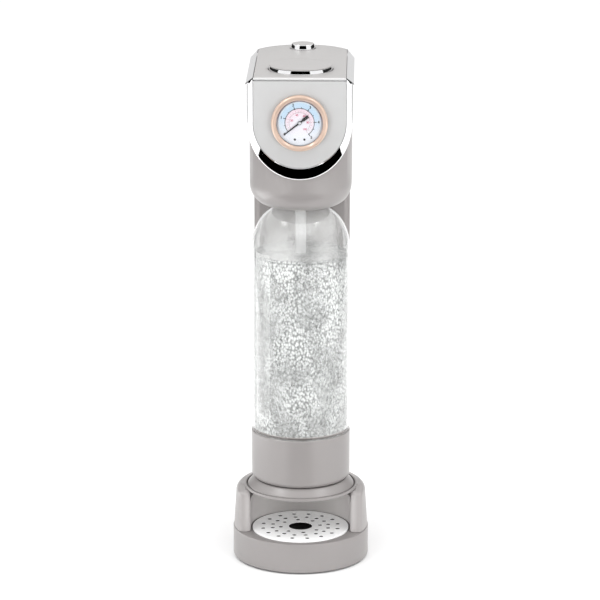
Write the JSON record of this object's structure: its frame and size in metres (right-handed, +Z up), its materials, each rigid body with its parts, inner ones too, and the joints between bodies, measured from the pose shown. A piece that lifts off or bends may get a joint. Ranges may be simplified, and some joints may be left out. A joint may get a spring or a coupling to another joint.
{
  "type": "sparkling water maker",
  "caption": "Counter-top sparkling water maker: gas cylinder column, push button head with pressure gauge, clear bottle on a sprung rest over a drum base with drip tray.",
  "frame": {"origin": "centre of the machine's box at the underside of its feet", "axes": "+Z up, the gauge and the tray face -Y, +X to the right seen from the front"},
  "size_m": [0.121, 0.1774, 0.449],
  "materials": {
    "body_plastic": "satin warm grey paint",
    "silver_panel": "satin silver",
    "polished_trim": "mirror polished",
    "copper_ring": "polished rose copper plating",
    "white_metal": "white enamel",
    "clear_bottle": "clear",
    "clear_lens": "clear",
    "black_plastic": "matt",
    "hose_plastic": "matt",
    "dark_rubber": "matt",
    "gas_brass": "machined",
    "plain_steel": "plain",
    "cylinder_paint": "satin"
  },
  "bodies": {
    "frame": {"foot_ring": "dark_rubber", "rear_foot": "dark_rubber", "base_plate": "black_plastic", "base_screw_1": "plain_steel", "base_screw_2": "plain_steel", "base_screw_3": "plain_steel", "base_screw_4": "plain_steel", "base_pan": "body_plastic", "drum_shell": "body_plastic", "rest_spring_1": "plain_steel", "rest_spring_2": "plain_steel", "column_frame": "body_plastic", "cylinder_guide_left": "black_plastic", "cylinder_guide_right": "black_plastic", "cylinder_pad": "dark_rubber", "bottle_collar": "body_plastic", "head_body": "body_plastic", "head_screw_1": "plain_steel", "head_screw_2": "plain_steel", "chrome_trim": "polished_trim", "front_plate": "silver_panel", "top_plate": "silver_panel", "gas_block": "gas_brass", "nozzle_tube": "clear_bottle", "nozzle_tip": "clear_bottle", "bottle_seal": "dark_rubber", "relief_valve": "gas_brass", "gauge_case": "plain_steel", "gauge_bezel": "copper_ring", "gauge_lens": "clear_lens", "gauge_dial": "white_metal", "bourdon_tube": "gas_brass", "gauge_pipe": "gas_brass", "valve_block": "gas_brass", "lever_bracket": "plain_steel", "lever_pin": "plain_steel", "gas_hose": "hose_plastic", "vent_hose": "hose_plastic", "button_well": "black_plastic", "button_spring": "plain_steel", "vent_valve": "black_plastic", "vent_spring": "plain_steel"},
    "tray": {"tray_pan": "body_plastic"},
    "grate": {"drip_grate": "white_metal"},
    "rest": {"bottle_rest": "body_plastic"},
    "bottle": {"bottle_cup": "body_plastic", "bottle_body": "clear_bottle"},
    "cover": {"rear_cover": "body_plastic"},
    "cylinder": {"gas_cylinder": "cylinder_paint", "cylinder_valve": "gas_brass"},
    "button": {"button_cap": "silver_panel", "button_ring": "polished_trim", "button_stem": "plain_steel"},
    "lever": {"valve_lever": "plain_steel"},
    "pin": {"valve_pin": "plain_steel"},
    "vent": {"vent_cap": "polished_trim", "vent_stem": "plain_steel"},
    "needle": {"gauge_needle": "black_plastic"}
  },
  "joints": [
    {"name": "tray_lift", "type": "slide", "parent": "frame", "child": "tray", "axis": [0, 0, 1], "range_m": [0, 0.01]},
    {"name": "grate_lift", "type": "slide", "parent": "tray", "child": "grate", "axis": [0, 0, 1], "range_m": [0, 0.0025]},
    {"name": "rest_drop", "type": "slide", "parent": "frame", "child": "rest", "axis": [0, 0, -1], "range_m": [0, 0.009], "stiffness_N_per_m": 400, "springref_m": -0.05, "deforming": ["rest_spring_1", "rest_spring_2"]},
    {"name": "bottle_turn", "type": "hinge", "parent": "rest", "child": "bottle", "pos_m": [0, -0.0282, 0.0738], "axis": [0, 0, -1], "range_deg": [0, 60]},
    {"name": "cover_pull", "type": "slide", "parent": "frame", "child": "cover", "axis": [0, 1, 0], "range_m": [0, 0.04]},
    {"name": "cylinder_turn", "type": "hinge", "parent": "frame", "child": "cylinder", "pos_m": [0, 0.0538, 0.0098], "axis": [0, 0, -1], "range_deg": [0, 360]},
    {"name": "button_press", "type": "slide", "parent": "frame", "child": "button", "axis": [0, 0, -1], "range_m": [0, 0.006], "stiffness_N_per_m": 600, "springref_m": -0.01, "deforming": ["button_spring"]},
    {"name": "lever_tilt", "type": "hinge", "parent": "frame", "child": "lever", "pos_m": [0, 0.0773, 0.395], "axis": [1, 0, 0], "range_deg": [0, 3.6]},
    {"name": "pin_push", "type": "slide", "parent": "frame", "child": "pin", "axis": [0, 0, -1], "range_m": [0, 0.0014]},
    {"name": "vent_press", "type": "slide", "parent": "frame", "child": "vent", "axis": [0, 0, -1], "range_m": [0, 0.003], "stiffness_N_per_m": 500, "springref_m": -0.008, "deforming": ["vent_spring"]},
    {"name": "needle_turn", "type": "hinge", "parent": "frame", "child": "needle", "pos_m": [0, -0.0762, 0.4055], "axis": [0, 1, 0], "range_deg": [0, 256], "stiffness_Nm_per_rad": 0.002, "springref_deg": -17.19}
  ],
  "couplings": [
    {"joint": "lever_tilt", "follows": "button_press", "rad_per_m": 9.0498},
    {"joint": "pin_push", "follows": "button_press", "ratio": 0.21267}
  ]
}
